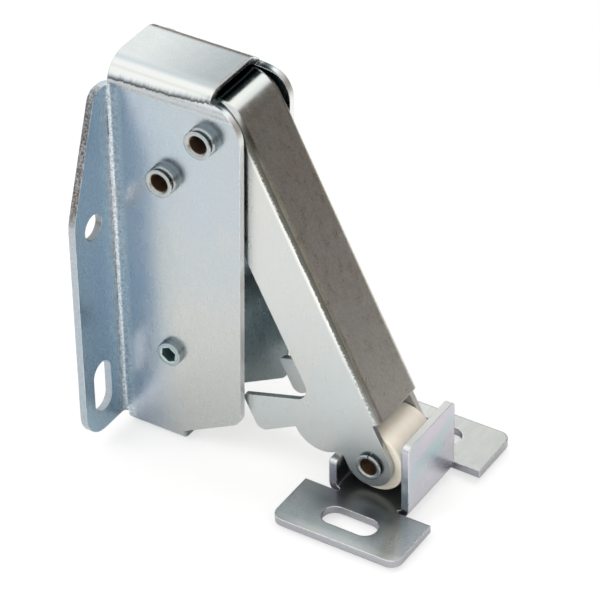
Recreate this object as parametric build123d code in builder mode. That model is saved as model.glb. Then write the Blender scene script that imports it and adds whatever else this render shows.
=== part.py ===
from build123d import *
import math
import os

# Sprung roller latch for a chest lid or a panel, with its separate striker plate.
# Millimetres. The origin is midway between the two round screw holes, on the plane that the
# flanges are screwed to. X points out of that plane, Y runs across the latch and Z is up.

# Housing: one folded sheet, with two walls, a top and two flanges
housing_sheet = 1.5
housing_width = 18.8
top_height = 33.4
top_bend = 5.5
top_rear = 1.5
top_front = 23.6
wall_depth_top = 30.6
wall_depth_bottom = 28.7
wall_top_height = 30.8
wall_top_radius = 6.7
wall_front_foot = -40.8
wall_front_foot_radius = 3.0
wall_low = -47.0
wall_low_depth = 16.9
foot_low = -50.5
foot_rear = 2.4
foot_front = 15.0
foot_bend = 2.4
foot_flap = 6.4
foot_corner = 1.8

# Flanges, one bent outwards from the rear of each wall
flange_half_span = 22.1
flange_bend = 0.9
flange_top = 28.4
flange_top_reach = 13.4
flange_top_radius = 2.6
flange_shoulder = 3.4
flange_shoulder_radius = 12.0
flange_low = -47.9
flange_low_radius = 6.0
hole_spacing = 32.3
hole_radius = 2.75
slot_spacing = 32.4
slot_centre = -37.65
slot_length = 11.6
slot_radius = 2.8

# Rivet places, as (X, Z): the pivot is measured down from the top, so that the head of the arm
# clears it, and the other two are measured down from the pivot
pivot_drop = 10.25
rear_drop = 11.5
lower_drop = 52.0
pivot = (22.7, top_height - pivot_drop)
rear_place = (13.7, pivot[1] - rear_drop)
lower_place = (13.5, pivot[1] - lower_drop)

# Hollow rivets and the bushes round the upper two. The head of a rivet is a thin flared lip
# on a short collar, with a groove between the collar and the bush
bush_radius = 3.0
bush_proud = 1.3
bush_edge = 0.25
rivet_radius = 2.3
rivet_bore = 1.85
rivet_groove = 0.6
rivet_collar_radius = 2.55
rivet_collar_length = 0.25
rivet_lip_radius = 2.95
rivet_lip_length = 0.3
rivet_mouth = 2.2
rivet_mouth_depth = 0.3
lip_round = 0.1

# Lower pin with a hexagonal socket, turned so that one corner points down and outwards
lower_pin_radius = 2.6
lower_pin_proud = 1.4
lower_pin_edge = 0.2
lower_pin_socket = 3.0
lower_pin_socket_turn = -36.0
stop_sleeve_radius = 3.2
sleeve_end_gap = 0.1
washer_radius = 4.6
washer_gap = 0.05

# Swinging arm: a folded channel. Along the arm is measured from the pivot towards the roller,
# and out is measured towards the web, away from the mounting plane
arm_angle = 26.84
arm_sheet = 1.2
arm_width = 14.4
arm_bend = 1.5
axle_along = 72.3
axle_out = 1.25
web_out = 7.8
web_end_gap = 8.3
web_end = axle_along - web_end_gap
cheek_rear = 5.5
cheek_rear_head = 5.2
cheek_waist = (16.0, 20.0)
cheek_end_shift = 0.3
cheek_end = (axle_along - cheek_end_shift, axle_out - cheek_end_shift)
cheek_end_radius = 5.05

# Hooked fingers and the belly under them, measured back from the axle
finger_root_gap = 15.0
finger_tip_gap = 18.0
finger_heel_gap = 9.7
finger_root = axle_along - finger_root_gap
finger_tip = axle_along - finger_tip_gap
finger_heel = axle_along - finger_heel_gap
finger_reach = 21.6
finger_notch_radius = 3.0
finger_tip_radius = 0.6
finger_heel_radius = 1.8
belly_gap = 3.5
belly_along = axle_along - belly_gap
belly_out = 12.3
belly_radius = 6.2
belly_neck_radius = 1.4
running_gap = 0.05

# Roller and its hollow axle
roller_radius = 6.5
roller_side_gap = 0.1
roller_edge = 0.35
axle_radius = 2.3
axle_bore = 1.85
axle_groove = 0.5
axle_lip_radius = 2.75
axle_lip_length = 0.4
axle_mouth = 2.05
axle_mouth_depth = 0.2
axle_split = 0.3

# Spring coiled round the pivot bush, with one leg on the rear bush and one on the web
spring_wire = 1.5
spring_coil_radius = 4.4
spring_pitch = 1.7
spring_turns = 3
spring_rear_leg = 17.0
spring_front_leg = 23.0
spring_seat_gap = 0.03

# Striker plate, screwed to the lid, with the roller between its two tabs
striker_sheet = 1.6
striker_bend = 0.8
striker_length = 27.7
striker_span = 44.6
striker_centre = 57.2
striker_strip = 18.8
striker_relief = 0.75
striker_corner = 2.4
striker_slot_spacing = 32.0
striker_slot_length = 11.8
striker_slot_radius = 2.6
roller_base_gap = 0.62
roller_rear_gap = 0.15
roller_front_gap = 1.2
rear_tab_height = 6.2
rear_tab_corner = 0.8
front_tab_height = 15.7
front_tab_corner = 1.3

# Worked-out sizes
housing_inner = housing_width / 2 - housing_sheet
wall_outer = housing_width / 2
arm_inner = arm_width / 2 - arm_sheet
web_inner = web_out - arm_sheet
far = 200.0

arm_plane = Plane(origin=(pivot[0], 0, pivot[1]), x_dir=(0, 0, -1), z_dir=(0, -1, 0))
pivot_axis = Axis((pivot[0], 0, pivot[1]), (0, 1, 0))


def at_arm(along, out):
    """X and Z of a point given along the arm and out from it, with the arm swung out."""
    tilt = math.radians(arm_angle)
    x = pivot[0] + along * math.sin(tilt) + out * math.cos(tilt)
    z = pivot[1] - along * math.cos(tilt) + out * math.sin(tilt)
    return x, z


roller_place = at_arm(axle_along, axle_out)


def outline(*corners, mode=Mode.ADD):
    """Face through (x, y, radius) corners, drawn in the sketch that calls it."""
    points = [(x, y) for x, y, radius in corners]
    radii = [radius for x, y, radius in corners]
    with BuildLine() as border:
        FilletPolyline(*points, radius=radii, close=True)
    make_face(border.edges(), mode=mode)


def wall_front(height):
    """Depth of the walls' front edge, which leans back a little towards the foot."""
    share = (wall_top_height - height) / (wall_top_height - wall_front_foot)
    return wall_depth_top + (wall_depth_bottom - wall_depth_top) * share


def make_flanges():
    """Both flanges with their bends, up to where the walls start."""
    bend_end = housing_sheet + flange_bend
    with BuildPart() as flanges:
        with BuildSketch(Plane.XY.offset(flange_low)):
            outline(
                (0, housing_inner, housing_sheet + flange_bend - 0.01),
                (bend_end, housing_inner, 0),
                (bend_end, wall_outer, 0),
                (housing_sheet, wall_outer, flange_bend - 0.01),
                (housing_sheet, flange_half_span, 0),
                (0, flange_half_span, 0),
            )
        extrude(amount=flange_top - flange_low)
        slant = flange_half_span - flange_top_reach
        with BuildSketch(Plane.YZ.offset(-1)):
            outline(
                (0, flange_low, 0),
                (flange_half_span, flange_low, flange_low_radius),
                (flange_half_span, flange_shoulder, flange_shoulder_radius),
                (flange_half_span - slant, flange_top, flange_top_radius),
                (0, flange_top, 0),
            )
        extrude(amount=bend_end + 2, mode=Mode.INTERSECT)
        with BuildSketch(Plane.YZ.offset(-1)):
            with Locations((hole_spacing / 2, 0)):
                Circle(hole_radius)
            with Locations((slot_spacing / 2, slot_centre)):
                SlotOverall(slot_length, 2 * slot_radius, rotation=90)
        extrude(amount=bend_end + 2, mode=Mode.SUBTRACT)
        mirror(about=Plane.XZ)
    return flanges


def make_feet():
    """Flaps bent inwards from the low edge of both walls."""
    with BuildPart() as feet:
        with BuildSketch(Plane.YZ.offset(foot_rear)):
            outline(
                (wall_outer, foot_low + foot_bend, 0),
                (wall_outer, foot_low, foot_bend - 0.01),
                (wall_outer - foot_flap, foot_low, 0),
                (wall_outer - foot_flap, foot_low + housing_sheet, 0),
                (housing_inner, foot_low + housing_sheet, foot_bend - housing_sheet - 0.01),
                (housing_inner, foot_low + foot_bend, 0),
            )
        extrude(amount=foot_front - foot_rear)
        fillet(feet.edges().filter_by(Axis.Z).sort_by(Axis.Y)[:2], foot_corner)
        mirror(about=Plane.XZ)
    return feet


def make_housing():
    flanges = make_flanges()
    feet = make_feet()
    bend_end = housing_sheet + flange_bend
    foot_top = foot_low + foot_bend
    with BuildPart() as housing:
        # Channel section of the walls and the top, as long as the walls are deep
        with BuildSketch(Plane.YZ):
            outline(
                (-wall_outer, foot_low, 0),
                (-wall_outer, top_height, top_bend),
                (wall_outer, top_height, top_bend),
                (wall_outer, foot_low, 0),
            )
            outline(
                (-housing_inner, foot_low, 0),
                (-housing_inner, top_height - housing_sheet, top_bend - housing_sheet),
                (housing_inner, top_height - housing_sheet, top_bend - housing_sheet),
                (housing_inner, foot_low, 0),
                mode=Mode.SUBTRACT,
            )
        extrude(amount=wall_depth_top)
        # Side outline of the walls
        with BuildSketch(Plane.XZ):
            outline(
                (top_rear, top_height, 0),
                (top_front, top_height, 0),
                (top_front, wall_top_height, 0),
                (wall_depth_top, wall_top_height, wall_top_radius),
                (wall_front(wall_front_foot), wall_front_foot, wall_front_foot_radius),
                (wall_low_depth, wall_low, 0),
                (foot_front, foot_top, 0),
                (foot_rear, foot_top, 0),
                (bend_end, flange_low, 0),
                (bend_end, flange_top, 0),
                (top_rear, flange_top, 0),
            )
        extrude(amount=housing_width, both=True, mode=Mode.INTERSECT)
        add(flanges.part)
        add(feet.part)
        # Rivet holes
        with BuildSketch(Plane.XZ):
            with Locations(pivot, rear_place):
                Circle(bush_radius)
            with Locations(lower_place):
                Circle(lower_pin_radius)
        extrude(amount=housing_width, both=True, mode=Mode.SUBTRACT)
    return housing


def make_arm():
    """The arm, drawn hanging straight down from the pivot and then swung out."""
    with BuildPart() as arm:
        # Side outline, with a round head that the web is curled over
        with BuildSketch(arm_plane):
            Circle(web_out)
            outline(
                (-far, far, 0),
                (0, far, 0),
                (0, -cheek_rear_head, 0),
                (-far, -cheek_rear_head, 0),
                mode=Mode.INTERSECT,
            )
            outline(
                (0, web_out, 0),
                (web_end, web_out, 0),
                (web_end, cheek_end[1] + cheek_end_radius, 0),
                (cheek_end[0], cheek_end[1] + cheek_end_radius, 0),
                (cheek_end[0], cheek_end[1] - cheek_end_radius, 0),
                (belly_along, cheek_end[1] - cheek_end_radius, belly_neck_radius),
                (belly_along, -belly_out, belly_radius),
                (finger_heel - 0.2, -belly_out, 0),
                (finger_heel, -finger_reach, finger_heel_radius),
                (finger_tip, -finger_reach, finger_tip_radius),
                (finger_root, -cheek_rear, finger_notch_radius),
                (cheek_waist[1], -cheek_rear, 0),
                (cheek_waist[0], -cheek_rear_head, 0),
                (0, -cheek_rear_head, 0),
            )
            with Locations(cheek_end):
                Circle(cheek_end_radius)
        extrude(amount=arm_width / 2, both=True)
        web_edges = arm.edges().filter_by(Axis.Z).group_by(Axis.X)[-1]
        fillet(web_edges, arm_bend)
        # Hollow between the cheeks, open at the rear and at the roller
        with BuildSketch(arm_plane):
            Circle(web_inner)
            outline(
                (0, web_inner, 0),
                (far, web_inner, 0),
                (far, -far, 0),
                (-far, -far, 0),
                (-far, 0, 0),
                (0, 0, 0),
            )
        extrude(amount=arm_inner, both=True, mode=Mode.SUBTRACT)
        inner_edges = arm.edges().filter_by(Axis.Z).filter_by_position(
            Axis.X, pivot[0] + web_inner - 0.01, pivot[0] + web_inner + 0.01
        )
        fillet(inner_edges, arm_bend - arm_sheet)
        # Holes for the pivot bush and the roller axle
        with BuildSketch(arm_plane):
            Circle(bush_radius + running_gap)
            with Locations((axle_along, axle_out)):
                Circle(axle_radius)
        extrude(amount=arm_width, both=True, mode=Mode.SUBTRACT)
    arm.part = arm.part.rotate(pivot_axis, -arm_angle)
    return arm


def make_rivet(place, radius, bore, mouth, mouth_depth, head, reach):
    """Hollow rivet along Y. Its head is given from the tip inwards, as (radius, length) steps."""
    corners = [(bore, 0, 0), (bore, reach - mouth_depth, 0), (mouth, reach, 0)]
    height = reach
    for step_radius, step_length in head:
        corners.append((step_radius, height, lip_round))
        height -= step_length
        corners.append((step_radius, height, lip_round))
    corners.append((radius, height, 0))
    corners.append((radius, 0, 0))
    with BuildPart() as rivet:
        with BuildSketch(Plane(origin=(place[0], 0, place[1]))):
            outline(*corners)
        revolve(axis=Axis((place[0], 0, place[1]), (0, 1, 0)))
        mirror(about=Plane.XZ)
    return rivet


def make_upper_rivet(place):
    head = [(rivet_lip_radius, rivet_lip_length), (rivet_collar_radius, rivet_collar_length)]
    reach = bush_half + rivet_groove + rivet_collar_length + rivet_lip_length
    return make_rivet(
        place, rivet_radius, rivet_bore, rivet_mouth, rivet_mouth_depth, head, reach
    )


def make_axle():
    """Axle with its rolled lips. The near lip is split at the top."""
    head = [(axle_lip_radius, axle_lip_length)]
    reach = arm_width / 2 + axle_groove + axle_lip_length
    tube = make_rivet(
        roller_place, axle_radius, axle_bore, axle_mouth, axle_mouth_depth, head, reach
    )
    lip_depth = axle_lip_radius - axle_bore
    with BuildPart() as axle:
        add(tube.part)
        with Locations((roller_place[0], -reach, roller_place[1] + axle_lip_radius)):
            Box(axle_split, 2 * axle_lip_length, 2.2 * lip_depth, mode=Mode.SUBTRACT)
    return axle


def make_lower_pin():
    """Pin through both walls, with a hexagonal socket right through it."""
    half_length = wall_outer + lower_pin_proud
    with BuildPart() as pin:
        with BuildSketch(Plane.XZ):
            with Locations(lower_place):
                Circle(lower_pin_radius)
        extrude(amount=half_length, both=True)
        fillet(pin.edges(), lower_pin_edge)
        with BuildSketch(Plane.XZ):
            with Locations(lower_place):
                RegularPolygon(
                    lower_pin_socket / 2, 6, major_radius=False, rotation=lower_pin_socket_turn
                )
        extrude(amount=half_length, both=True, mode=Mode.SUBTRACT)
    return pin


def make_tube(place, outer, inner, half_length, centre=0.0, edge=0.0):
    """Tube along Y, with its outer edges chamfered where an edge size is given."""
    with BuildPart() as tube:
        with BuildSketch(Plane.XZ.offset(-centre)):
            with Locations(place):
                Circle(outer)
        extrude(amount=half_length, both=True)
        if edge:
            chamfer(tube.edges().filter_by(GeomType.CIRCLE), edge)
        with BuildSketch(Plane.XZ.offset(-centre)):
            with Locations(place):
                Circle(inner)
        extrude(amount=half_length, both=True, mode=Mode.SUBTRACT)
    return tube


def make_roller():
    half_length = arm_inner - roller_side_gap
    with BuildPart() as roller:
        with BuildSketch(Plane.XZ):
            with Locations(roller_place):
                Circle(roller_radius)
        extrude(amount=half_length, both=True)
        fillet(roller.edges(), roller_edge)
        with BuildSketch(Plane.XZ):
            with Locations(roller_place):
                Circle(axle_radius + running_gap)
        extrude(amount=half_length, both=True, mode=Mode.SUBTRACT)
    return roller


def make_spring():
    """Torsion spring wound on the pivot, from the rear leg up, over and down to the front leg."""
    wire_radius = spring_wire / 2
    to_rear = (rear_place[0] - pivot[0], rear_place[1] - pivot[1])
    rear_seat = spring_coil_radius + bush_radius + wire_radius + spring_seat_gap
    rear_turn = math.atan2(to_rear[1], to_rear[0]) + math.acos(-rear_seat / math.hypot(*to_rear))
    front_height = web_inner - wire_radius - spring_seat_gap
    front_slope = math.atan2(front_height, spring_front_leg)
    front_slope -= math.asin(spring_coil_radius / math.hypot(front_height, spring_front_leg))
    # Angles of the two tangent points round the pivot, from X towards Z
    start_angle = math.pi + rear_turn
    end_angle = math.radians(arm_angle) + front_slope
    turns = spring_turns + (start_angle - end_angle) / (2 * math.pi)
    height = turns * spring_pitch
    start_x = (math.cos(start_angle), 0, math.sin(start_angle))
    coil_plane = Plane(origin=(pivot[0], -height / 2, pivot[1]), x_dir=start_x, z_dir=(0, 1, 0))
    with BuildPart() as spring:
        with BuildLine() as path:
            turned = Helix(spring_pitch, height, spring_coil_radius, mode=Mode.PRIVATE)
            coil = add(coil_plane.from_local_coords(turned))
            start = coil_plane.from_local_coords(turned @ 0)
            end = coil_plane.from_local_coords(turned @ 1)
            rear_way = coil.edges()[0] % 0
            front_way = coil.edges()[0] % 1
            Line(start - rear_way * spring_rear_leg, start)
            Line(end, end + front_way * spring_front_leg)
        first = path.wires()[0]
        with BuildSketch(Plane(origin=first @ 0, z_dir=first % 0)):
            Circle(wire_radius)
        sweep(path=first, is_frenet=True)
    return spring


def make_striker():
    """Striker plate, with a low tab behind the roller and a tall one in front of it."""
    base_top = roller_place[1] - roller_radius - roller_base_gap
    base_low = base_top - striker_sheet
    rear_inner = roller_place[0] - roller_radius - roller_rear_gap
    front_inner = roller_place[0] + roller_radius + roller_front_gap
    rear_outer = rear_inner - striker_sheet
    front_outer = front_inner + striker_sheet
    outer_bend = striker_bend + striker_sheet
    tab_half = striker_strip / 2 - striker_relief
    front = striker_centre + striker_length / 2
    rear = striker_centre - striker_length / 2
    with BuildPart() as striker:
        # Base with both wings, and room for the two tabs to bend up
        with BuildSketch(Plane.XY.offset(base_low)):
            with Locations((striker_centre, 0)):
                RectangleRounded(striker_length, striker_span, striker_corner)
            with Locations((front, 0)):
                Rectangle(
                    2 * (front - front_outer + outer_bend), striker_strip, mode=Mode.SUBTRACT
                )
            with Locations((rear, 0)):
                Rectangle(
                    2 * (rear_outer + outer_bend - rear), striker_strip, mode=Mode.SUBTRACT
                )
            with Locations((striker_centre, striker_slot_spacing / 2),
                           (striker_centre, -striker_slot_spacing / 2)):
                SlotOverall(striker_slot_length, 2 * striker_slot_radius, mode=Mode.SUBTRACT)
        extrude(amount=striker_sheet)
        # Strip that carries the tabs, seen from the side
        with BuildSketch(Plane.XZ):
            outline(
                (rear_outer, base_top + rear_tab_height, 0),
                (rear_inner, base_top + rear_tab_height, 0),
                (rear_inner, base_top, striker_bend),
                (front_inner, base_top, striker_bend),
                (front_inner, base_top + front_tab_height, 0),
                (front_outer, base_top + front_tab_height, 0),
                (front_outer, base_low, outer_bend),
                (rear_outer, base_low, outer_bend),
            )
        extrude(amount=tab_half, both=True)
        corners = striker.edges().filter_by(Axis.X).group_by(Axis.Z)
        fillet(corners[-1], front_tab_corner)
        corners = striker.edges().filter_by(Axis.X).filter_by_position(
            Axis.Z, base_top + rear_tab_height - 0.01, base_top + rear_tab_height + 0.01
        )
        fillet(corners, rear_tab_corner)
    return striker


side_gap = housing_inner - arm_width / 2
bush_half = wall_outer + bush_proud
washer_half = side_gap / 2 - washer_gap
washer_centre = arm_width / 2 + side_gap / 2
stop_half = housing_inner - sleeve_end_gap

parts = {
    "housing": make_housing(),
    "arm": make_arm(),
    "roller": make_roller(),
    "roller_axle": make_axle(),
    "pivot_bush": make_tube(pivot, bush_radius, rivet_radius, bush_half, edge=bush_edge),
    "pivot_rivet": make_upper_rivet(pivot),
    "rear_bush": make_tube(rear_place, bush_radius, rivet_radius, bush_half, edge=bush_edge),
    "rear_rivet": make_upper_rivet(rear_place),
    "lower_rivet": make_lower_pin(),
    "stop_sleeve": make_tube(lower_place, stop_sleeve_radius, lower_pin_radius, stop_half),
    "near_washer": make_tube(pivot, washer_radius, bush_radius, washer_half, -washer_centre),
    "far_washer": make_tube(pivot, washer_radius, bush_radius, washer_half, washer_centre),
    "main_spring": make_spring(),
    "striker_plate": make_striker(),
}

os.makedirs("parts", exist_ok=True)
for name, piece in parts.items():
    piece.part.label = name
    export_step(piece.part, f"parts/{name}.step")
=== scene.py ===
import math

import bpy
from mathutils import Matrix, Vector


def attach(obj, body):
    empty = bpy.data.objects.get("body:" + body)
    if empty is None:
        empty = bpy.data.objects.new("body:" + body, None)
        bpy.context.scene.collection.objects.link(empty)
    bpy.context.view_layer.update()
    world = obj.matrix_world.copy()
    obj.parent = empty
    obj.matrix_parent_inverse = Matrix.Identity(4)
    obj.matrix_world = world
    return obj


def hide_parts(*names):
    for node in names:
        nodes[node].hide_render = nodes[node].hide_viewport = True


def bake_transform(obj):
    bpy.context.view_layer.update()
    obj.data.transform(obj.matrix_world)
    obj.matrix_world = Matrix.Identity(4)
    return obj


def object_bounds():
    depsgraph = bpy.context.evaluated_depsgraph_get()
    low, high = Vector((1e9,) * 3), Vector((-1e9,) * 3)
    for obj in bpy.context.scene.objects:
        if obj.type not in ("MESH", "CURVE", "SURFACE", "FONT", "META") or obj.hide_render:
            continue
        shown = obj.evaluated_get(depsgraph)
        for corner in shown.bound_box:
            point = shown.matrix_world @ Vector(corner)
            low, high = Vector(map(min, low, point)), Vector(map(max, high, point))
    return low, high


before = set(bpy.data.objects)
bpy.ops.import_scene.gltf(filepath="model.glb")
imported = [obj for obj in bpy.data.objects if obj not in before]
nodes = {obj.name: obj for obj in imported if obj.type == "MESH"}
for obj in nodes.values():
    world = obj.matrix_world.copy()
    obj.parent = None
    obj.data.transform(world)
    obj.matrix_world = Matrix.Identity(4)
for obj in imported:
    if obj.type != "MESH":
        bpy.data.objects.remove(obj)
cad_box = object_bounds()

# Camera, from the photograph: place in millimetres, angles in degrees, focal length in pixels
CAMERA_PLACE = (321.008, -447.085, 378.339)
CAMERA_AZIMUTH = 32.4414
CAMERA_ELEVATION = 36.5119
CAMERA_ROLL = -1.0470
CAMERA_FOCAL = 3492.28
IMAGE_WIDTH = 600.0
SENSOR_WIDTH = 36.0
CLIP_NEAR = 0.05
CLIP_FAR = 10

# Lengths from here on are in metres.
# Housing: just past the walls' inner face, the start of the flanges, the foot of the top's fold
# and the top
WALL_INSIDE = 0.0080
FLANGE_START = 0.0108
FOLD_FOOT = 0.0285
TOP = 0.0334

# Arm: its pivot as (X, Z), its tilt in degrees, the line where the bright and the dark stripe of
# each bend meet, and the outer face of its cheeks
PIVOT = (0.0227, 0.02315)
ARM_TILT = 26.84
STRIPE_OUT = 0.0070
CHEEK_SIDE = 0.0072

# Striker: just over the upper face of its wings
WING_TOP = -0.0475

# Coarse plating on bends and cuts, as the scale, the detail and its weight
COARSE = (2300.0, 2.0, 0.65)
EDGE_SAMPLES = 6

# Axes of the two upper rivets, of the roller's hollow axle and of the lower pin, as (X, Z)
RIVET_AXES = (PIVOT, (0.0137, 0.01165), (0.05646, -0.0408))
LOWER_PIN = (0.0135, -0.02885)

# Floor: its half width, its gap under the part, and the middle of the white round the part
FLOOR_HALF = 1.5
FLOOR_GAP = 0.0002
FLOOR_CENTRE = 0.03

# The room, as the metal sees it: a sheet of white paper that ends where the dark room starts
ROOM_DARK = (121, 109, 101)
PAPER_EDGE = 0.30
PAPER_FRONT = -0.17

# Where the lamps point
LAMP_TARGET = (0.02, 0, -0.01)

# A bright sky, a window and a dark card, in linear light
SKY = (1.24, 1.22, 1.19, 1.0)
WINDOW = (1.7, 1.66, 1.56, 1.0)
CARD = (0.02, 0.03, 0.03, 1.0)
WHITE = (1, 1, 1, 1)

# Where the arm's web, seen from the camera, mirrors the room, as X and Y
WEB_MIRRORS = (0.735, 0.678)


def make_camera():
    turns = (CAMERA_AZIMUTH, CAMERA_ELEVATION, CAMERA_ROLL)
    azimuth, elevation, roll = (math.radians(a) for a in turns)
    level = math.cos(elevation)
    look = Vector((-math.sin(azimuth) * level, math.cos(azimuth) * level, -math.sin(elevation)))
    right = Vector((math.cos(azimuth), math.sin(azimuth), 0))
    up = right.cross(look)
    turned_right = right * math.cos(roll) + up * math.sin(roll)
    turned_up = up * math.cos(roll) - right * math.sin(roll)
    data = bpy.data.cameras.new("camera")
    data.sensor_fit = "HORIZONTAL"
    data.sensor_width = SENSOR_WIDTH
    data.lens = CAMERA_FOCAL / IMAGE_WIDTH * SENSOR_WIDTH
    data.clip_start = CLIP_NEAR
    data.clip_end = CLIP_FAR
    camera = bpy.data.objects.new("camera", data)
    bpy.context.scene.collection.objects.link(camera)
    turn = Matrix((turned_right, turned_up, -look)).transposed().to_4x4()
    camera.matrix_world = Matrix.Translation(Vector(CAMERA_PLACE) / 1000) @ turn
    bpy.context.scene.camera = camera


def colour(red, green, blue):
    """Colour given as a picture shows it, 0 to 255."""
    parts = []
    for value in (red, green, blue):
        value /= 255
        parts.append(value / 12.92 if value <= 0.04045 else ((value + 0.055) / 1.055) ** 2.4)
    return (*parts, 1.0)


class Graph:
    """A material's nodes, made one after another."""

    def __init__(self, tree):
        self.tree = tree
        tree.nodes.clear()

    def add(self, kind, values=None, **settings):
        node = self.tree.nodes.new(kind)
        for key, value in settings.items():
            setattr(node, key, value)
        for key, value in (values or {}).items():
            self.put(node.inputs[key], value)
        return node

    def put(self, socket, value):
        if isinstance(value, bpy.types.NodeSocket):
            self.tree.links.new(value, socket)
        elif isinstance(value, bpy.types.Node):
            self.tree.links.new(next(s for s in value.outputs if s.enabled), socket)
        else:
            socket.default_value = value

    def math(self, operation, a, b=0.0, clamp=False):
        node = self.add("ShaderNodeMath", {0: a, 1: b}, operation=operation, use_clamp=clamp)
        return node.outputs[0]

    def plus(self, a, b, clamp=False):
        return self.math("ADD", a, b, clamp)

    def minus(self, a, b):
        return self.math("SUBTRACT", a, b)

    def times(self, a, b, clamp=False):
        return self.math("MULTIPLY", a, b, clamp)

    def most(self, a, b):
        return self.math("MAXIMUM", a, b)

    def size(self, value):
        return self.math("ABSOLUTE", value)

    def length(self, vector):
        node = self.add("ShaderNodeVectorMath", {0: vector}, operation="LENGTH")
        return node.outputs["Value"]

    def spread(self, value, low, high, to_low=0.0, to_high=1.0):
        values = {0: value, 1: low, 2: high, 3: to_low, 4: to_high}
        return self.add("ShaderNodeMapRange", values).outputs[0]

    def area(self, *bounds):
        """Where all the bounds hold: each is a mask, or a value and what spread() takes."""
        masks = [self.spread(*b) if isinstance(b, tuple) else b for b in bounds]
        product = masks[0]
        for mask in masks[1:]:
            product = self.times(product, mask)
        return product

    def mix(self, share, a, b):
        node = self.add("ShaderNodeMix", data_type="RGBA", blend_type="MIX", clamp_factor=True)
        self.put(node.inputs[0], share)
        self.put(node.inputs[6], a)
        self.put(node.inputs[7], b)
        return node.outputs[2]

    def paint(self, under, area, shade, share=None):
        """The colour under the paint, and the paint's shade over an area."""
        if share is not None:
            area = self.times(area, share)
        return self.mix(area, under, colour(*shade))

    def place(self, scale=(1, 1, 1), turn=(0, 0, 0)):
        coordinates = self.add("ShaderNodeTexCoord").outputs["Object"]
        turned = [math.radians(a) for a in turn]
        return self.add("ShaderNodeMapping", {0: coordinates, 2: turned, 3: scale}).outputs[0]

    def noise(self, scale, detail, rough, distortion=0.0, stretch=(1, 1, 1), turn=(0, 0, 0)):
        """Soft random blotches, 0 to 1: their number to a metre, their detail and its weight."""
        node = self.add("ShaderNodeTexNoise", {
            "Vector": self.place(stretch, turn), "Scale": scale, "Detail": detail,
            "Roughness": rough, "Distortion": distortion,
        })
        return node.outputs["Fac"]

    def axes(self):
        """X, Y and Z of the surface in metres, in the part's own frame."""
        coordinates = self.add("ShaderNodeTexCoord").outputs["Object"]
        return self.add("ShaderNodeSeparateXYZ", {0: coordinates}).outputs

    def facing(self):
        """X, Y and Z of the surface's own direction."""
        normal = self.add("ShaderNodeNewGeometry").outputs["Normal"]
        return self.add("ShaderNodeSeparateXYZ", {0: normal}).outputs

    def rounded(self, radius):
        """The surface's direction, as if its edges were rounded."""
        return self.add("ShaderNodeBevel", {"Radius": radius}, samples=EDGE_SAMPLES).outputs[0]

    def edge(self, rounded):
        """0 on open surfaces and up to 1 on an edge."""
        flat = self.add("ShaderNodeNewGeometry").outputs["Normal"]
        dot = self.add("ShaderNodeVectorMath", {0: rounded, 1: flat}, operation="DOT_PRODUCT")
        return self.spread(dot.outputs["Value"], 0.995, 0.86)


def new_material(name):
    material = bpy.data.materials.new(name)
    material.use_nodes = True
    return material, Graph(material.node_tree)


def no_mask(g):
    return 0.0


def no_marks(g, tint):
    return tint, 0.0


def housing_bends(g):
    """The bends of both flanges and the walls beside them, where the plating is coarser."""
    x, y, z = g.axes()
    return g.area((x, 0.0040, 0.0022, 0, 0.8), (x, 0.0010, 0.0014),
                  (g.size(y), 0.0107, 0.0101), (z, 0.0290, 0.0284))


def housing_cuts(g):
    """The sheared edge of the flanges."""
    _, y, z = g.axes()
    return g.area((g.size(y), FLANGE_START, 0.0112), (g.size(g.facing()[0]), 0.5, 0.3),
                  (z, 0.003, 0.006, 0.25, 1))


def fold_shading(g, tint):
    """Rough line where the top was folded, painted dark as shade, with a painted highlight over it
    and a painted highlight line under it.
    """
    x, y, z = g.axes()
    side = g.size(y)
    outside = (side, 0.0076, WALL_INSIDE)
    # The line climbs a little towards the front, with short marks across it
    line = g.plus(g.times(x, 0.035), 0.02948)
    line = g.plus(line, g.times(g.spread(x, 0.017, 0.023), 0.0004))
    comb = g.times(g.minus(g.noise(1500.0, 2.0, 0.6, stretch=(1, 0.2, 0.2)), 0.5), 0.0009)
    above = g.minus(g.minus(z, line), comb)
    rough_fold_shade = g.area((above, -0.00010, 0.00002), (above, 0.00085, 0.00010), outside,
                  (x, -0.001, 0.004, 0.6, 1))
    # Painted shade along the fold's line, which is also made rougher
    tint = g.paint(tint, rough_fold_shade, (74, 68, 62), 0.85)
    # Painted highlight over the fold
    fold_highlight = g.area((above, 0.0003, 0.0012), (z, TOP, 0.0325), (side, 0.0060, 0.0066))
    tint = g.paint(tint, fold_highlight, (232, 234, 232), 0.8)
    # Painted highlight as a light line under the fold
    highlight_below_fold = g.area((above, 0.0, -0.0002), (z, 0.0281, 0.0287), outside)
    return g.paint(tint, highlight_below_fold, (218, 226, 232), 0.7), rough_fold_shade


def flange_marks(g, tint):
    """A violet and a pale speckled strip on the wall by the flange, a painted reflection that tints
    the flange's face blue, and painted shade in its holes.
    """
    x, y, z = g.axes()
    side = g.size(y)
    ahead, across, _ = g.facing()
    wall = g.area((g.size(across), 0.7, 0.9), (z, FOLD_FOOT, 0.0275))
    violet = g.area(wall, (x, 0.0035, 0.0050), (x, 0.0125, 0.0075))
    tint = g.paint(tint, violet, (172, 180, 198), 0.5)
    strip = g.area(wall, (side, 0.0110, 0.0106), (x, 0.0046, 0.0036))
    speckle = g.spread(g.noise(*COARSE), 0.40, 0.60, 0.2, 0.8)
    tint = g.paint(tint, g.area(strip, speckle), (208, 217, 225))
    # Painted reflection: the flange's face is tinted blue
    flange = g.area((side, FLANGE_START, 0.0114), (ahead, 0.5, 0.8))
    tint = g.paint(tint, flange, (156, 180, 196))
    # Painted shade in the flange's holes
    hole_shade = g.area((side, 0.0125, 0.0130), (side, 0.0200, 0.0195), (g.size(z), 0.0040, 0.0035),
                  (g.size(ahead), 0.5, 0.3))
    return g.paint(tint, hole_shade, (118, 126, 130), 0.8), strip


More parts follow.
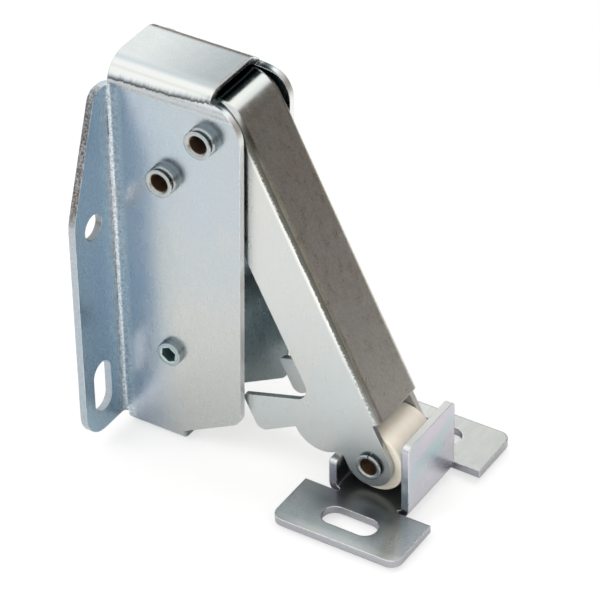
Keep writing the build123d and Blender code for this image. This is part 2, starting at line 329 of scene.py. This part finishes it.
def rim_marks(g, tint):
    """The bright front rim of the walls and the top, and the dark lip of sheet under it."""
    x, y, z = g.axes()
    side = g.size(y)
    ahead, across, _ = g.facing()
    rim = g.area((side, 0.0079, WALL_INSIDE), (x, 0.012, 0.018), (g.size(across), 0.6, 0.3),
                 (z, 0.0300, 0.0290))
    lip = g.area((x, 0.0228, 0.0232), (ahead, 0.5, 0.8), (z, 0.0280, FOLD_FOOT))
    under = g.area(lip, (z, 0.0328, 0.0326), (side, 0.0055, 0.0045))
    tint = g.paint(tint, under, (84, 92, 94))
    rim = g.most(rim, g.area(lip, (z, 0.0326, 0.0328)))
    return g.paint(tint, rim, (240, 242, 242), 0.8), rim


def housing_marks(g, tint):
    """Painted shade inside, the fold's line, the top painted lighter with painted shade towards its
    front, the flanges and the rim.
    """
    x, y, z = g.axes()
    tint = g.paint(tint, g.area((z, 0.005, -0.020), (x, 0.004, 0.016)), (182, 185, 185))
    # Painted shade inside the housing, darkest just under the top
    inside = g.area((g.size(y), WALL_INSIDE, 0.00794), (z, 0.03205, 0.03190))
    tint = g.paint(tint, inside, (160, 171, 174))
    tint = g.paint(tint, g.area(inside, (z, 0.026, 0.029)), (84, 98, 102))
    tint, rough_fold_shade = fold_shading(g, tint)
    # Painted light on the top, and painted shade towards its front
    upper = g.spread(z, 0.0325, 0.0333)
    tint = g.paint(tint, upper, (211, 218, 219))
    tint = g.paint(tint, g.area(upper, (x, 0.006, 0.022)), (168, 176, 180))
    tint, strip = flange_marks(g, tint)
    tint, rim = rim_marks(g, tint)
    return tint, g.most(g.most(rim, g.times(rough_fold_shade, 0.7)), g.times(strip, 0.5))


def arm_place(g):
    """How far down the arm from the pivot, how far out towards the web, and how far to a side."""
    x, y, z = g.axes()
    tilt = math.radians(ARM_TILT)
    ahead = g.minus(x, PIVOT[0])
    above = g.minus(z, PIVOT[1])
    out = g.plus(g.times(ahead, math.cos(tilt)), g.times(above, math.sin(tilt)))
    along = g.minus(g.times(ahead, math.sin(tilt)), g.times(above, math.cos(tilt)))
    return along, out, g.size(y)


def arm_bends(g):
    """The line along the bends beside the web where the rough plating shows."""
    along, out, side = arm_place(g)
    return g.area((out, 0.0065, 0.0067), (out, 0.0073, STRIPE_OUT), (side, 0.0060, 0.0064),
                  (along, 0.001, 0.004, 0.2, 1))


def bend_stripe_shading(g, tint, along, out, side):
    """Each bend's painted highlight stripe with a ragged border, then a painted shade stripe and a
    pale painted highlight.
    """
    ragged = g.times(g.minus(g.noise(2800.0, 2.0, 0.6), 0.5), 0.0010)
    across = g.plus(out, ragged)
    bend = g.area((side, 0.0056, 0.0060), (along, -0.002, 0.002))
    # Painted shade on the bends by the head
    head_end_shade = g.area(bend, (along, 0.008, 0.003, 0, 0.9), (out, 0.0058, 0.0062))
    tint = g.paint(tint, head_end_shade, (98, 100, 94))
    # Painted highlight stripe along each bend
    bright = g.area(bend, (out, 0.0060, 0.0067), (across, STRIPE_OUT, 0.0068),
                    (along, 0.003, 0.008), (along, 0.056, 0.042))
    tint = g.paint(tint, bright, (238, 239, 238), 0.8)
    # Painted shade stripe beside it
    dark = g.area(bend, (across, 0.0068, STRIPE_OUT), (out, 0.0077, 0.0075),
                  (along, 0.045, 0.060, 1, 0.6))
    tint = g.paint(tint, dark, (104, 108, 100), 0.9)
    # Painted pale highlight
    pale = g.area((side, 0.0054, 0.0059), (out, 0.0075, 0.0077), (along, 0.004, 0.012))
    return g.paint(tint, pale, (222, 225, 212), 0.8)


def arm_marks(g, tint):
    """Bends with painted stripes of highlight and shade, a grained web darker towards the roller,
    painted shade on the head under the top, and a smooth curled head.
    """
    along, out, side = arm_place(g)
    tint = bend_stripe_shading(g, tint, along, out, side)
    web = g.area((out, 0.0074, 0.0077), (side, CHEEK_SIDE, 0.0062))
    tint = g.paint(tint, g.area(web, (along, 0.030, 0.062)), (172, 172, 170))
    grain = g.noise(1900.0, 2.0, 0.7)
    tint = g.paint(tint, g.area(web, (grain, 0.60, 0.40, 0, 0.3)), (140, 132, 120))
    by_roller = g.area((side, 0.0071, 0.00718), (along, 0.058, 0.072))
    tint = g.paint(tint, by_roller, (176, 180, 182))
    # Painted shade: the head is nearly black where the top hangs over it
    shade_under_top = g.area((along, -0.0053, -0.0057), (side, 0.0070, 0.0067))
    tint = g.paint(tint, shade_under_top, (34, 44, 46))
    head = g.spread(along, -0.0015, -0.0035)
    return tint, g.times(head, -0.95)


def rivet_groove_shade(g):
    """Painted shade in the groove behind each head of the upper rivets and of the axle."""
    _, y, z = g.axes()
    side = g.size(y)
    upper = g.area((side, 0.01070, 0.01074), (side, 0.01134, 0.01130), (z, 0.004, 0.005))
    axle = g.area((side, 0.00720, 0.00724), (side, 0.00772, 0.00768))
    return g.most(upper, axle)


def reach_of(g, x, z, centre):
    """Distance from an axis that runs along Y."""
    apart = {0: g.minus(x, centre[0]), 1: g.minus(z, centre[1])}
    return g.length(g.add("ShaderNodeCombineXYZ", apart))


def rivet_marks(g, tint):
    """Bores of the hollow rivets and the axle, browned and dull inside."""
    x, _, z = g.axes()
    inner = 0.0
    for centre in RIVET_AXES:
        inner = g.most(inner, g.spread(reach_of(g, x, z, centre), 0.00200, 0.00188))
    tint = g.paint(tint, inner, (186, 168, 150))
    socket = g.area((reach_of(g, x, z, LOWER_PIN), 0.00190, 0.00180), (z, -0.02, -0.025))
    return g.paint(tint, socket, (176, 204, 208)), g.most(inner, socket)


def wing_marks(g, tint, up):
    """Cloudy wings with painted light on their upper faces, lighter at +Y, and painted sheen
    patches; painted shade on the -Y wing beside the roller, and wear along its outer edge.
    """
    x, y, z = g.axes()
    # Painted light: upward faces are lighter, more so at +Y
    tint = g.paint(tint, up, (204, 210, 212))
    tint = g.paint(tint, g.area(up, (y, 0.004, 0.014)), (210, 213, 212))
    # Painted sheen in soft light patches
    sheen = g.noise(130.0, 1.5, 0.5, turn=(0, 0, 25))
    tint = g.paint(tint, g.area(up, (sheen, 0.46, 0.66, 0, 0.5)), (230, 234, 233))
    # Painted shade on the -Y wing beside the roller
    near_wing_shade = g.area(up, (y, -0.0212, -0.0125, 0, 0.9), (y, 0.010, 0.006), (z, -0.0465, WING_TOP),
                  (x, 0.0710, 0.0640, 0.3, 1), (x, 0.0440, 0.0500, 0.6, 1))
    tint = g.paint(tint, near_wing_shade, (104, 110, 114))
    worn = g.area(up, (y, -0.0200, -0.0216, 0, 0.8))
    return g.paint(tint, worn, (238, 240, 238)), near_wing_shade


def striker_marks(g, tint):
    """Rainbow tinge on the front tab, plainer wings with darker cut sides, and a painted highlight
    on the tab tops.
    """
    z = g.axes()[2]
    ahead, _, upwards = g.facing()
    up = g.spread(upwards, 0.5, 0.9)
    tint, near_wing_shade = wing_marks(g, tint, up)
    front = g.spread(ahead, 0.6, 0.9)
    bow = g.noise(110.0, 2.0, 0.5, 0.6, stretch=(1, 1, 1.6), turn=(10, 20, 0))
    tint = g.paint(tint, g.area(front, (bow, 0.52, 0.60, 0, 0.7)), (198, 189, 199))
    tint = g.paint(tint, g.area(front, (bow, 0.46, 0.38, 0, 0.7)), (162, 186, 192))
    tint = g.paint(tint, g.area(front, (z, -0.038, -0.046, 0, 0.8)), (196, 195, 206))
    cut = g.area((z, WING_TOP, -0.0479), (g.size(upwards), 0.5, 0.3))
    tint = g.paint(tint, cut, (158, 160, 167))
    # Painted highlight on the upward tab tops, which are also made rougher
    top = g.area(up, (z, -0.0430, -0.0425))
    return g.paint(tint, top, (226, 229, 228)), g.most(g.times(near_wing_shade, 0.5), top)


def zinc(name, plain, cool, warm, rough, grain, worn_shade, flow=(1, 1, 1), bends=no_mask,
         cuts=no_mask, groove_shade=no_mask, marks=no_marks, rounding=0.00022, pits=0.2, coarseness=8.0):
    """Bright zinc plate: cloudy tints, fine rolled grain, coarse bends and worn edges."""
    material, g = new_material(name)
    cloud = g.noise(34.0, 2.0, 0.5)
    tint = g.mix(g.spread(cloud, 0.38, 0.58), colour(*cool), colour(*plain))
    second = g.noise(60.0, 2.0, 0.5, stretch=(1.3, 0.8, 1), turn=(0, 20, 35))
    tint = g.paint(tint, g.spread(second, 0.50, 0.70, 0, 0.8), warm)
    streak = g.noise(700.0, 3.0, 0.55, stretch=flow)
    tint = g.paint(tint, g.spread(streak, 0.25, 0.75, 0.06, 0), (96, 100, 104))
    speck = g.noise(2600.0, 2.0, 0.6)
    pit = g.noise(560.0, 2.0, 0.7, turn=(30, 0, 10))
    tint = g.paint(tint, g.spread(pit, 0.745, 0.765, 0, pits), (90, 92, 96))
    bend = bends(g)
    cut = cuts(g)
    coarse = g.noise(*COARSE)
    tint = g.paint(tint, g.area((coarse, 0.50, 0.60, 0, 0.6), bend), worn_shade)
    tint = g.paint(tint, g.area((coarse, 0.48, 0.38, 0, 0.5), bend), (90, 96, 100))
    tint = g.paint(tint, g.area((coarse, 0.62, 0.40, 0.15, 1), cut), (96, 88, 84))
    # Painted shade behind the rivet heads, nearly black
    tint = g.paint(tint, groove_shade(g), (26, 28, 28))
    tint, dull = marks(g, tint)
    rounded = g.rounded(rounding)
    rub = g.noise(700.0, 3.0, 0.6)
    worn = g.times(g.edge(rounded), g.spread(rub, 0.35, 0.6, 0.25, 1), True)
    tint = g.paint(tint, worn, worn_shade)
    roughness = g.spread(streak, 0.3, 0.7, rough - 0.03, rough + 0.04)
    roughness = g.plus(roughness, g.times(worn, 0.06))
    roughness = g.minus(roughness, g.times(bend, 0.09))
    roughness = g.plus(roughness, g.times(cut, 0.14))
    roughness = g.plus(roughness, g.times(dull, 0.18), True)
    fine = g.plus(g.times(streak, 0.3), g.times(speck, 0.6))
    fine = g.plus(fine, g.times(coarse, g.times(g.most(bend, cut), coarseness)))
    bump = g.add("ShaderNodeBump", {
        "Strength": grain, "Distance": 0.00006, "Height": fine, "Normal": rounded,
    })
    shader = g.add("ShaderNodeBsdfPrincipled", {
        "Base Color": tint, "Roughness": roughness, "Metallic": 1.0, "Normal": bump,
    })
    g.add("ShaderNodeOutputMaterial", {"Surface": shader})
    return material


def nylon(name, plain, shade, rough):
    """Moulded nylon with a faint mottle and a soft surface."""
    material, g = new_material(name)
    cloud = g.noise(420.0, 3.0, 0.5)
    tint = g.mix(g.spread(cloud, 0.35, 0.7), colour(*plain), colour(*shade))
    rounded = g.rounded(0.0003)
    fine = g.noise(3200.0, 3.0, 0.6)
    bump = g.add("ShaderNodeBump", {
        "Strength": 0.12, "Distance": 0.00005, "Height": fine, "Normal": rounded,
    })
    shader = g.add("ShaderNodeBsdfPrincipled", {
        "Base Color": tint, "Roughness": g.spread(fine, 0.3, 0.7, rough - 0.05, rough + 0.05),
        "Subsurface Weight": 0.12, "Subsurface Scale": 0.001, "Normal": bump,
    })
    g.add("ShaderNodeOutputMaterial", {"Surface": shader})
    return material


def dress(material, *names):
    for name in names:
        thing = nodes[name]
        thing.data.materials.clear()
        thing.data.materials.append(material)


def floor_material(low):
    """White all round to the camera. The metal sees the dark room past the paper's edge."""
    material, g = new_material("floor_white")
    coordinates = g.add("ShaderNodeTexCoord").outputs["Object"]
    centre = {0: coordinates, 1: (FLOOR_CENTRE, 0, low)}
    distance = g.length(g.add("ShaderNodeVectorMath", centre, operation="SUBTRACT").outputs[0])
    to_camera = g.add("ShaderNodeLightPath").outputs["Is Camera Ray"]
    ahead = g.add("ShaderNodeSeparateXYZ", {0: coordinates}).outputs["Y"]
    paper = g.area((distance, PAPER_EDGE, PAPER_EDGE + 0.05, 1, 0),
                   (ahead, PAPER_FRONT - 0.02, PAPER_FRONT))
    bench = g.spread(ahead, -0.26, -0.36, 0, 0.8)
    shade = g.paint(colour(*ROOM_DARK), g.most(paper, bench), (246, 245, 243))
    shade = g.paint(shade, to_camera, (248, 248, 248))
    lit = g.add("ShaderNodeBsdfDiffuse", {"Color": shade})
    white = g.add("ShaderNodeEmission", {"Color": WHITE, "Strength": 1.0})
    away = g.times(g.spread(distance, 0.03, 0.16, 0.62, 1), to_camera)
    whitened = g.add("ShaderNodeMixShader", {0: away, 1: lit, 2: white})
    g.add("ShaderNodeOutputMaterial", {"Surface": whitened})
    return material


def make_floor():
    """Pale floor that turns to plain white away from the object."""
    low = cad_box[0][2] - FLOOR_GAP
    corners = [(-1, -1), (1, -1), (1, 1), (-1, 1)]
    places = [(x * FLOOR_HALF, y * FLOOR_HALF, low) for x, y in corners]
    mesh = bpy.data.meshes.new("floor")
    mesh.from_pydata(places, [], [(0, 1, 2, 3)])
    floor = bpy.data.objects.new("floor", mesh)
    bpy.context.scene.collection.objects.link(floor)
    # The striker plate stands on the floor at every pose
    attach(floor, "striker")
    mesh.materials.append(floor_material(low))


def make_room():
    """Soft light from all round: white to the camera, and a room that the metal reflects."""
    world = bpy.data.worlds.new("studio")
    bpy.context.scene.world = world
    world.use_nodes = True
    g = Graph(world.node_tree)
    way = g.add("ShaderNodeTexCoord").outputs["Generated"]
    x, y, z = g.add("ShaderNodeSeparateXYZ", {0: way}).outputs
    # The dark band at eye level is broadest where the arm's web mirrors it to the camera
    ahead = g.plus(g.times(x, WEB_MIRRORS[0]), g.times(y, WEB_MIRRORS[1]))
    high = g.minus(z, g.spread(ahead, 0.0, 0.85, 0.0, 0.50))
    room = g.mix(g.spread(high, -0.02, 0.10), colour(*ROOM_DARK), SKY)
    # A bright window and a dark card behind the part, which the curled head of the arm shows
    behind = g.area((y, 0.35, 0.5), (z, 0.50, 0.58))
    room = g.mix(g.area(behind, (x, 0.06, 0.12), (x, 0.52, 0.26)), room, WINDOW)
    room = g.mix(g.area(behind, (x, -0.35, -0.32), (x, 0.12, 0.06)), room, CARD)
    sky = g.mix(g.add("ShaderNodeLightPath").outputs["Is Camera Ray"], room, WHITE)
    background = g.add("ShaderNodeBackground", {"Color": sky, "Strength": 1.0})
    g.add("ShaderNodeOutputWorld", {"Surface": background})


def make_lamp(name, place, width, height, power):
    """Soft lamp that shines on the part and doesn't show in the metal."""
    data = bpy.data.lights.new(name, "AREA")
    data.shape = "RECTANGLE"
    data.size = width
    data.size_y = height
    data.energy = power
    lamp = bpy.data.objects.new(name, data)
    bpy.context.scene.collection.objects.link(lamp)
    lamp.location = place
    lamp.rotation_mode = "QUATERNION"
    lamp.rotation_quaternion = (Vector(LAMP_TARGET) - Vector(place)).to_track_quat("-Z", "Y")
    lamp.visible_glossy = False


def make_wound_spring():
    """A copy of the spring's mesh, baked in place, with the original spring hidden."""
    old = nodes["main_spring"]
    spring = bpy.data.objects.new("wound_spring", old.data.copy())
    bpy.context.scene.collection.objects.link(spring)
    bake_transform(spring)
    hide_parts("main_spring")


make_camera()
make_floor()
make_room()
make_lamp("lamp_left", (-0.45, -0.55, 0.60), 0.45, 0.45, 3.2)
make_lamp("lamp_top", (0.05, 0.35, 0.75), 0.5, 0.35, 2.0)
bpy.context.scene.view_settings.view_transform = "Standard"

housing_zinc = zinc(
    "housing_zinc", (172, 182, 190), (163, 179, 191), (181, 184, 187), 0.27, 0.06, (222, 226, 228),
    (1, 1, 0.35), housing_bends, housing_cuts, marks=housing_marks
)
arm_zinc = zinc(
    "arm_zinc", (193, 197, 198), (188, 196, 198), (196, 196, 194), 0.29, 0.14, (230, 230, 228),
    (1, 1, 0.35), arm_bends, marks=arm_marks, pits=0.0, coarseness=4.0
)
striker_zinc = zinc(
    "striker_zinc", (182, 188, 196), (172, 184, 193), (192, 184, 198), 0.24, 0.08, (222, 224, 226),
    (1, 0.35, 1), marks=striker_marks, rounding=0.0004
)
rivet_zinc = zinc(
    "rivet_zinc", (158, 168, 172), (148, 162, 168), (168, 168, 164), 0.20, 0.08, (206, 210, 208),
    groove_shade=rivet_groove_shade, marks=rivet_marks, rounding=0.0005
)
spring_steel = zinc(
    "spring_steel", (120, 122, 124), (110, 116, 122), (128, 122, 116), 0.30, 0.10, (150, 150, 150)
)
cream_nylon = nylon("cream_nylon", (233, 227, 214), (226, 218, 202), 0.42)
dark_nylon = nylon("dark_nylon", (52, 52, 54), (44, 44, 46), 0.45)

dress(housing_zinc, "housing")
dress(arm_zinc, "arm")
dress(striker_zinc, "striker_plate")
dress(rivet_zinc, "pivot_bush", "pivot_rivet", "rear_bush", "rear_rivet", "lower_rivet",
      "stop_sleeve", "roller_axle")
dress(spring_steel, "main_spring")
make_wound_spring()
dress(cream_nylon, "roller")
dress(dark_nylon, "near_washer", "far_washer")
